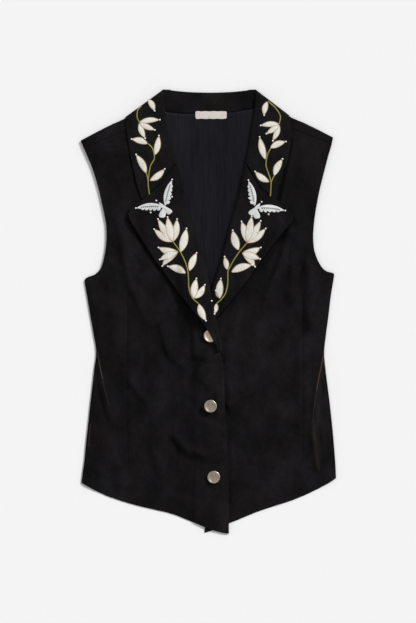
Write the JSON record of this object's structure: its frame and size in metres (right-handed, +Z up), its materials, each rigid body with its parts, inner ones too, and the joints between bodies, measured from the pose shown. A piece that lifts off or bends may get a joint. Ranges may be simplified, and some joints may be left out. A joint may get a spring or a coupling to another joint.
{
  "type": "vest",
  "caption": "Sleeveless fitted vest laid flat, with a collar, peaked lapels, lapped snap front and pointed hem.",
  "frame": {"origin": "centre of the underside of the bounding box, on the surface it lies on", "axes": "+Z up from the surface, +Y from the hem to the collar, +X to the right of someone who looks down on it with the collar at the top"},
  "size_m": [0.4078, 0.7105, 0.0207],
  "materials": {
    "suede": "napped, matt",
    "satin": "smooth satin",
    "woven": "woven, matt",
    "metal": "polished, pewter tone"
  },
  "bodies": {
    "root": {"back": "suede", "back_lining": "satin", "front_left": "suede", "front_right": "suede", "lapel_left": "suede", "lapel_right": "suede", "collar": "suede", "label": "woven", "snap_1": "metal", "snap_2": "metal", "snap_3": "metal"}
  },
  "joints": []
}
